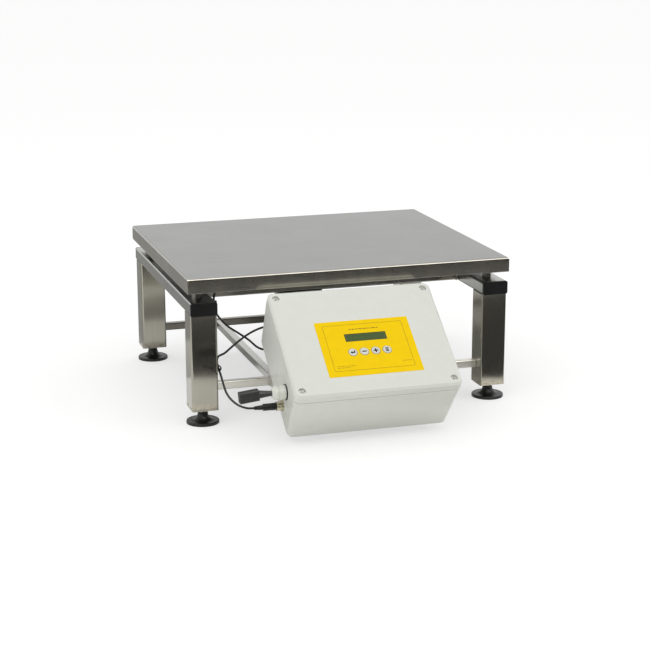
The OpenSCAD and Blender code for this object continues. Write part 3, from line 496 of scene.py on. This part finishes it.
def bead(bm, corners, rng, closed=True, radius=BEAD_R):
    """A weld bead along straight stretches, in small waves."""
    stops = [Vector(c) for c in corners]
    ends = [*stops, stops[0]] if closed else stops
    path, radii, travelled = [], [], 0.0
    for a, b in zip(ends, ends[1:]):
        steps = max(2, round((b - a).length / (RIPPLE / 3)))
        for k in range(steps):
            path.append(a.lerp(b, k / steps))
            wave = abs(math.sin(math.pi * travelled / RIPPLE))
            radii.append(radius * (0.82 + 0.2 * wave + rng.uniform(-0.05, 0.05)))
            travelled += (b - a).length / steps
    if not closed:
        path.append(stops[-1])
        radii.append(radius * 0.5)
    sweep(bm, path, radii, BEAD_SIDES, closed)


def ring_x(x, y0, y1, z0, z1, inset=0.6 * MM):
    """Corners of a rectangle across X, with its own corners cut."""
    i = inset
    return [(x, y0 + i, z0), (x, y1 - i, z0), (x, y1, z0 + i), (x, y1, z1 - i),
            (x, y1 - i, z1), (x, y0 + i, z1), (x, y0, z1 - i), (x, y0, z0 + i)]


def ring_y(y, x0, x1, z0, z1):
    return [(b, y, c) for _, b, c in ring_x(0, x0, x1, z0, z1)]


def ring_z(z, x0, x1, y0, y1):
    return [(b, c, z) for _, b, c in ring_x(0, x0, x1, y0, y1, inset=2 * MM)]


def weld_material():
    s = Surface("weld_bead", (0.46, 0.43, 0.37), 0.34, metallic=1.0)
    s.vary(s.noise(700, 3), 0.7, 1.15)
    s.tint(s.remap(s.noise(260, 3), 0.5, 0.65), (0.34, 0.24, 0.13), share=0.5)
    s.rough(s.noise(500, 3), -0.08, 0.12)
    s.bump(s.noise(1400, 3), 0.0001, 0.6)
    return s.done()


def make_welds():
    """Beads round the bars, beams and stretchers, on top of the legs and at their end plates."""
    rng = random.Random(7)
    bm = bmesh.new()
    for node in ("crossbar_front", "crossbar_rear", "beam_front", "beam_rear"):
        lo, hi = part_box(node)
        for x, inwards in ((lo.x, 1), (hi.x, -1)):
            bead(bm, ring_x(x + inwards * TUBE_IN, lo.y, hi.y, lo.z, hi.z), rng)
    for node in ("stretcher_left", "stretcher_right"):
        lo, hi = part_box(node)
        for y, inwards in ((lo.y, 1), (hi.y, -1)):
            bead(bm, ring_y(y + inwards * TUBE_IN, lo.x, hi.x, lo.z, hi.z), rng)
    for node in ("leg_front_left", "leg_front_right", "leg_rear_left", "leg_rear_right"):
        lo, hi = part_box(node)
        top = ring_z(hi.z, lo.x + TOP_IN, hi.x - TOP_IN, lo.y + TOP_IN, hi.y - TOP_IN)
        bead(bm, top, rng, radius=BEAD_R * 0.55)
        for x in (lo.x + SIDE_IN, hi.x - SIDE_IN):
            for at in (lo.y + TACK_AT, hi.y - TACK_AT):
                bead(bm, [(x, at - TACK_HALF, lo.z), (x, at + TACK_HALF, lo.z)], rng, closed=False)
        for y in (lo.y + SIDE_IN, hi.y - SIDE_IN):
            for at in (lo.x + TACK_AT, hi.x - TACK_AT):
                bead(bm, [(at - TACK_HALF, y, lo.z), (at + TACK_HALF, y, lo.z)], rng, closed=False)
    add_piece("weld_beads", bm, ROOT, weld_material(), smooth=60)


make_welds()


# Levelling spindles: a ball, a neck, a hexagonal collar and a rolled thread, in millimetres

BALL_Z = 8.2
BALL_R = 6.0
NECK_Z = BALL_Z + 5.4
NECK_R = 3.1
COLLAR = (15.8, 22.3)
COLLAR_R = 7.5
CHAMFER = 0.7
THREAD_R = 5.0
THREAD_DEPTH = 0.7
THREAD_PITCH = 1.5
THREAD_SIDES = 24
THREAD_STEPS = 5
# The thread starts this far over the collar and ends this far under the tip
THREAD_START = 0.6
THREAD_END = 0.8
TIP_CHAMFER = (0.6, 0.7)


def thread_radius(z, turn):
    """Radius in millimetres of a rounded vee thread at a height and a share of a turn."""
    wave = (z / THREAD_PITCH - turn) % 1.0
    return THREAD_R - THREAD_DEPTH * (0.5 + 0.5 * math.cos(2 * math.pi * wave))


def hexagon_radius(turn, scale):
    """Radius in millimetres of the collar at a share of a turn."""
    flat = scale * COLLAR_R * math.cos(math.pi / 6)
    return flat / math.cos((turn * 6 % 1 - 0.5) * math.pi / 3)


def spindle_rings(top):
    """Heights and radius functions from the ball's foot to the tip of the thread."""
    rings = []
    for k in range(1, 14):
        a = math.pi * (k / 16 - 0.5)
        rings.append((BALL_Z + BALL_R * math.sin(a), lambda turn, r=BALL_R * math.cos(a): r))
    low, high = COLLAR
    rings += [(NECK_Z, lambda turn: NECK_R),
              (low, lambda turn: NECK_R),
              (low, lambda turn: hexagon_radius(turn, 0.9)),
              (low + CHAMFER, lambda turn: hexagon_radius(turn, 1)),
              (high - CHAMFER, lambda turn: hexagon_radius(turn, 1)),
              (high, lambda turn: hexagon_radius(turn, 0.9)),
              (high, lambda turn: THREAD_R - THREAD_DEPTH)]
    start = high + THREAD_START
    steps = int((top - THREAD_END - start) / THREAD_PITCH * THREAD_STEPS)
    for k in range(steps):
        z = start + k * THREAD_PITCH / THREAD_STEPS
        rings.append((z, lambda turn, z=z: thread_radius(z, turn)))
    inwards, down = TIP_CHAMFER
    rings += [(top - down, lambda turn: THREAD_R - THREAD_DEPTH),
              (top, lambda turn: THREAD_R - THREAD_DEPTH - inwards)]
    return rings


def make_spindle(corner):
    """A detailed spindle in place of a foot's plain one."""
    node = "foot_spindle_" + corner
    lo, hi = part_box(node)
    middle = (lo + hi) / 2
    turns = [k / THREAD_SIDES for k in range(THREAD_SIDES)]
    bm = bmesh.new()
    rings = []
    for z, radius in spindle_rings(hi.z / MM):
        points = [(middle.x + radius(t) * MM * math.cos(2 * math.pi * t),
                   middle.y + radius(t) * MM * math.sin(2 * math.pi * t), z * MM) for t in turns]
        rings.append([bm.verts.new(point) for point in points])
    for low, high in zip(rings, rings[1:]):
        for k in range(THREAD_SIDES):
            j = (k + 1) % THREAD_SIDES
            bm.faces.new((low[k], low[j], high[j], high[k]))
    bm.faces.new(rings[0])
    bm.faces.new(rings[-1])
    made = add_piece(node + "_threaded", bm, node, MATERIALS["spindle_steel"],
                     smooth=40)
    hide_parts(node)


for corner in ("front_left", "front_right", "rear_left", "rear_right"):
    make_spindle(corner)


# Load cell: a copy of the CAD cell in its place, with the CAD node hidden


def make_load_cell():
    cell = bpy.data.objects.new("load_cell_bending", NODES["load_cell"].data.copy())
    bpy.context.scene.collection.objects.link(cell)
    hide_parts("load_cell")
    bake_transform(cell)


make_load_cell()


# Softened edges on the moulded parts

SHARP = math.radians(35)


def soften(node, width):
    """Rounds the sharp edges of a CAD node with modifiers, to a width in millimetres."""
    piece = NODES[node]
    weld = piece.modifiers.new("weld", "WELD")
    weld.merge_threshold = 0.00001
    flat = piece.modifiers.new("flat", "DECIMATE")
    flat.decimate_type = "DISSOLVE"
    flat.angle_limit = math.radians(0.5)
    bevel = piece.modifiers.new("bevel", "BEVEL")
    bevel.width = width * MM
    bevel.segments = 2
    bevel.limit_method = "ANGLE"
    bevel.angle_limit = SHARP


for node, width in (("rail_caps", 0.8), ("supply_connector", 0.9), ("box_lid", 1.6),
                    ("box_base", 1.2)):
    soften(node, width)


# Front panel: printing, key symbols and the display's cells, in the lid's own frame

# Millimetres: the lid's middle, then places on the lid across and up from there
LID_TILT = math.radians(37)
LID_AT = Vector((-16, -313, 144))
OVERLAY_AT = (2, -16.5)
OVERLAY_SIZE = (140.5, 98.5)
OVERLAY_TOP = 0.2
KEY_PITCH = 17.1
KEY_V = -24.4
KEY_R = 6.2
KEY_TOP = 0.7
RING_GAP = 0.25
RING_WIDTH = 0.5
WINDOW_AT = (2, 1.8)
WINDOW_SIZE = (61, 12.7)
CELL_SIZE = (3.0, 4.7)
CELL_PITCH = 3.55
PRINT_T = 0.04
CIRCLE_SIDES = 40


def on_lid(u, v, n):
    """A point given in millimetres across, up and out of the lid, in the row frame in metres."""
    c, s = math.cos(LID_TILT), math.sin(LID_TILT)
    return (LID_AT + Vector((u, v * c - n * s, v * s + n * c))) * MM


def lid_top(node):
    """How far a node stands out of the lid's face, in millimetres."""
    c, s = math.cos(LID_TILT), math.sin(LID_TILT)
    place = [v.co / MM - LID_AT for v in NODES[node].data.vertices]
    return max(p.z * c - p.y * s for p in place)


def plate(bm, outline, n0, n1):
    """A flat plate on the lid with the given outline, between two heights."""
    low = [bm.verts.new(on_lid(u, v, n0)) for u, v in outline]
    high = [bm.verts.new(on_lid(u, v, n1)) for u, v in outline]
    bm.faces.new(low)
    bm.faces.new(high)
    for k in range(len(outline)):
        j = (k + 1) % len(outline)
        bm.faces.new((low[k], low[j], high[j], high[k]))


def loop_plate(bm, outer, inner, n0, n1):
    """A flat frame on the lid between two outlines of as many points."""
    rings = [[bm.verts.new(on_lid(u, v, n)) for u, v in outline] for outline, n in
             ((outer, n0), (outer, n1), (inner, n1), (inner, n0))]
    count = len(outer)
    for a, b in zip(rings, [*rings[1:], rings[0]]):
        for k in range(count):
            j = (k + 1) % count
            bm.faces.new((a[k], a[j], b[j], b[k]))


def rectangle(u, v, w, h, r=0.0, steps=6):
    """Outline of a rectangle with round corners."""
    points = []
    for su, sv, start in ((1, 1, 0), (-1, 1, 90), (-1, -1, 180), (1, -1, 270)):
        for k in range(steps + 1 if r else 1):
            a = math.radians(start + 90 * k / steps)
            cu, cv = u + su * (w / 2 - r), v + sv * (h / 2 - r)
            points.append((cu + r * math.cos(a), cv + r * math.sin(a)))
    return points


def circle(u, v, r):
    """Outline of a circle."""
    turns = [2 * math.pi * k / CIRCLE_SIDES for k in range(CIRCLE_SIDES)]
    return [(u + r * math.cos(a), v + r * math.sin(a)) for a in turns]


def ink_material(name, colour):
    s = Surface(name, colour, 0.5, Specular_IOR_Level=0.2)
    s.vary(s.noise(900, 3), 0.8, 1.2)
    s.rough(s.noise(300, 2), -0.05, 0.05)
    s.bump(s.noise(3000, 2), 0.00002, 0.4)
    return s.done()


INK = ink_material("printed_brown_ink", (0.16, 0.095, 0.008))
RING_INK = ink_material("printed_grey_ink", (0.26, 0.23, 0.14))
SYMBOL_INK = ink_material("printed_blue_ink", (0.008, 0.012, 0.03))
# Dark frame round the display window: painted shade, not print.
WINDOW_EDGE_SHADE = ink_material("display_frame_painted_shade", (0.028, 0.04, 0.012))
CELL_INK = ink_material("display_cell_green", (0.05, 0.085, 0.02))


def make_printing():
    """The overlay's printed frame, its rows of dashes and the rings round the keys."""
    n0, n1 = OVERLAY_TOP - PRINT_T, OVERLAY_TOP + PRINT_T / 2
    u, v = OVERLAY_AT
    w, h = OVERLAY_SIZE
    # Margins outside the frame and the width of its line
    side, top, foot, line = 10.5, 7.0, 9.5, 0.45
    bm = bmesh.new()
    middle = v + (foot - top) / 2
    size = (w - 2 * side, h - top - foot)
    inside = (size[0] - 2 * line, size[1] - 2 * line)
    loop_plate(bm, rectangle(u, middle, *size, 1.5), rectangle(u, middle, *inside, 1.1), n0, n1)
    # Rows of plain dashes stand where the panel carries small print: start, height, length, size
    rng = random.Random(3)
    rows = [(u - 22, v + 33.2, 44, 1.9), (u - 55, v - 31.2, 27, 0.9),
            (u - 55, v - 34.0, 19, 0.9), (u + 43, v - 29.6, 14, 0.9)]
    for start, at, length, tall in rows:
        x = start
        while x < start + length - 1:
            dash = min(rng.uniform(1.2, 3.4) * tall, start + length - x)
            outline = rectangle(x + dash / 2, at, dash, tall * 0.7, tall * 0.2, 2)
            plate(bm, outline, n0, n1)
            x += dash + 0.6 * tall
    add_piece("overlay_printing", bm, ROOT, INK)

    bm = bmesh.new()
    for i in range(4):
        at = (u + (i - 1.5) * KEY_PITCH, KEY_V)
        inner = KEY_R + RING_GAP
        loop_plate(bm, circle(*at, inner + RING_WIDTH), circle(*at, inner), n0, n1)
    add_piece("key_rings", bm, ROOT, RING_INK)


def symbol_enter(u, v):
    """An arrow to the left with a hook at its right end."""
    arrow = [(-3.9, -0.6), (-0.8, 2.2), (-0.8, 0.4), (1.7, 0.4), (1.7, 2.7), (3.5, 2.7),
             (3.5, -1.6), (-0.8, -1.6), (-0.8, -3.2)]
    return [[(u + x, v + y) for x, y in arrow]]


def symbol_minus(u, v):
    return [rectangle(u, v, 6.8, 2.0, 0.3, 3)]


def symbol_plus(u, v):
    a, b = 3.5, 1.05
    cross = [(b, a), (-b, a), (-b, b), (-a, b), (-a, -b), (-b, -b),
             (-b, -a), (b, -a), (b, -b), (a, -b), (a, b), (b, b)]
    return [[(u + x, v + y) for x, y in cross]]


def symbol_menu(u, v):
    """Three short bars."""
    return [rectangle(u, v + 2.5 * k, 5.0, 1.7, 0.3, 3) for k in (-1, 0, 1)]


def make_key_symbols():
    symbols = {"key_enter": symbol_enter, "key_minus": symbol_minus,
               "key_plus": symbol_plus, "key_menu": symbol_menu}
    for i, (key, outlines) in enumerate(symbols.items()):
        u = OVERLAY_AT[0] + (i - 1.5) * KEY_PITCH
        bm = bmesh.new()
        for outline in outlines(u, KEY_V):
            plate(bm, outline, KEY_TOP - PRINT_T, KEY_TOP + PRINT_T / 2)
        add_piece(key + "_symbol", bm, key, SYMBOL_INK)


def make_display():
    """A dark frame round the glass, painted shade of its recessed edge, and two rows of sixteen
    blank cells in it.
    """
    u, v = WINDOW_AT
    w, h = WINDOW_SIZE
    bm = bmesh.new()
    n1 = OVERLAY_TOP + PRINT_T / 2
    # The dark frame stands for the shade at the glass's recessed edge: painted shade.
    outer, inner = rectangle(u, v, w + 1.2, h + 1.2, 0.6), rectangle(u, v, w - 0.4, h - 0.4, 0.3)
    loop_plate(bm, outer, inner, OVERLAY_TOP - PRINT_T, n1)
    add_piece("display_frame", bm, ROOT, WINDOW_EDGE_SHADE)
    top = lid_top("display_window")
    bm = bmesh.new()
    for row in (-1, 1):
        for i in range(16):
            outline = rectangle(u + (i - 7.5) * CELL_PITCH, v + row * 2.7, *CELL_SIZE)
            plate(bm, outline, top - PRINT_T, top + PRINT_T / 4)
    add_piece("display_cells", bm, ROOT, CELL_INK)


make_printing()
make_key_symbols()
make_display()


# ---- Stage ----

def add_plane(name, corners, material):
    mesh = bpy.data.meshes.new(name)
    mesh.from_pydata(corners, [], [list(range(len(corners)))])
    plane = bpy.data.objects.new(name, mesh)
    bpy.context.scene.collection.objects.link(plane)
    mesh.materials.append(material)
    return plane


def seen_rays(nodes, links):
    """1 for rays from the camera and for mirrored and transmitted ones, 0 for diffuse ones."""
    path = nodes.new("ShaderNodeLightPath")
    seen = path.outputs["Is Camera Ray"]
    for output in ("Is Glossy Ray", "Is Transmission Ray"):
        either = nodes.new("ShaderNodeMath")
        either.operation = "MAXIMUM"
        links.new(seen, either.inputs[0])
        links.new(path.outputs[output], either.inputs[1])
        seen = either.outputs[0]
    return seen


FLOOR_SIDE = 28
FLOOR_LIFT = 0.54


def floor_material():
    """White to the camera and in reflections, with the shadow kept, and plain to diffuse light."""
    material = bpy.data.materials.new("floor_white")
    material.use_nodes = True
    nodes, links = material.node_tree.nodes, material.node_tree.links
    nodes.clear()
    plain = nodes.new("ShaderNodeBsdfDiffuse")
    plain.inputs["Color"].default_value = (0.9, 0.9, 0.89, 1)
    bright = nodes.new("ShaderNodeBsdfDiffuse")
    bright.inputs["Color"].default_value = (0.52, 0.52, 0.517, 1)
    lift = nodes.new("ShaderNodeEmission")
    lift.inputs["Strength"].default_value = FLOOR_LIFT
    both = nodes.new("ShaderNodeAddShader")
    links.new(bright.outputs[0], both.inputs[0])
    links.new(lift.outputs[0], both.inputs[1])
    pick = nodes.new("ShaderNodeMixShader")
    links.new(seen_rays(nodes, links), pick.inputs[0])
    links.new(plain.outputs[0], pick.inputs[1])
    links.new(both.outputs[0], pick.inputs[2])
    out = nodes.new("ShaderNodeOutputMaterial")
    links.new(pick.outputs[0], out.inputs["Surface"])
    return material


def card_material(name, shade, glow):
    material = bpy.data.materials.new(name)
    material.use_nodes = True
    shader = material.node_tree.nodes["Principled BSDF"]
    shader.inputs["Base Color"].default_value = (shade, shade, shade * 0.97, 1)
    shader.inputs["Roughness"].default_value = 0.9
    shader.inputs["Emission Color"].default_value = (1, 1, 1, 1)
    shader.inputs["Emission Strength"].default_value = glow
    return material


def add_card(name, corners, shade, glow=0.0):
    """A card that only shows as a reflection, as a studio's flags and reflectors do."""
    card = add_plane(name, corners, card_material(name, shade, glow))
    card.visible_camera = False
    card.visible_diffuse = False
    card.visible_transmission = False
    card.visible_shadow = False


CARD_Z = 0.004
BLACK = 0.02


def square(x0, x1, y0, y1):
    return [(x0, y0), (x1, y0), (x1, y1), (x0, y1)]


def at_height(outline, z):
    return [(x, y, z) for x, y in outline]


floor_square = square(-FLOOR_SIDE / 2, FLOOR_SIDE / 2, -FLOOR_SIDE / 2, FLOOR_SIDE / 2)
add_plane("floor", at_height(floor_square, 0), floor_material())
for name, shade, outline in (
    ("floor_flag", BLACK, [(-2.5, -0.92), (3.5, -0.92), (3.5, 0.2), (0.6, -0.2), (-0.6, -0.58),
                           (-2.5, -0.8)]),
    ("far_flag", BLACK, square(-2.5, 3.5, -4, -0.98)),
    ("near_grey", 0.7, square(-1.6, -0.262, 0.03, 0.26)),
    ("far_grey", 0.36, square(-1.9, -0.262, 0.26, 1.5)),
    # under_grey and bar_grey stand for the floor in shade under the scale, seen only in
    # reflections: painted shade.
    ("under_grey", 0.6, [(-0.02, -0.1), (0.21, -0.1), (0.21, 0.5), (-0.235, 0.5), (-0.235, 0.06),
                         (-0.02, 0.06)]),
    ("bar_grey", 0.8, square(-0.235, 0.21, -0.28, -0.1)),
):
    add_card(name, at_height(outline, CARD_Z), shade)
add_card("front_flag", [(x, -4, z) for x, z in square(-2.5, 3.5, CARD_Z, 1.5)], BLACK)
add_card("edge_reflector",
         [(-1.6, -1.5, 2.3), (2.4, -1.5, 2.3), (2.4, -3.0, 1.9), (-1.6, -3.0, 1.9)], 0.8, glow=3.0)


def add_lamp(name, at, aim, size, watts):
    data = bpy.data.lights.new(name, "AREA")
    data.shape = "SQUARE"
    data.size = size
    data.energy = watts
    lamp = bpy.data.objects.new(name, data)
    bpy.context.scene.collection.objects.link(lamp)
    lamp.location = at
    lamp.rotation_mode = "QUATERNION"
    lamp.rotation_quaternion = (Vector(aim) - Vector(at)).to_track_quat("-Z", "Y")


add_lamp("key", (-1.7, -1.6, 2.6), (0, -0.1, 0.1), 1.8, 11)
add_lamp("fill", (2.2, -1.6, 1.9), (0, -0.1, 0.1), 1.6, 6)
add_lamp("top", (0, 0.5, 3.0), (0, 0, 0.1), 2.4, 8)


WORLD_LIGHT = 0.82


def make_world():
    """White to the camera and in reflections, a little dimmer as light."""
    world = bpy.data.worlds.new("studio")
    bpy.context.scene.world = world
    world.use_nodes = True
    nodes, links = world.node_tree.nodes, world.node_tree.links
    background = nodes["Background"]
    background.inputs["Color"].default_value = (1, 1, 1, 1)
    strength = nodes.new("ShaderNodeMapRange")
    links.new(seen_rays(nodes, links), strength.inputs["Value"])
    strength.inputs["To Min"].default_value = WORLD_LIGHT
    strength.inputs["To Max"].default_value = 1.0
    links.new(strength.outputs[0], background.inputs["Strength"])


make_world()
bpy.context.scene.view_settings.view_transform = "Standard"
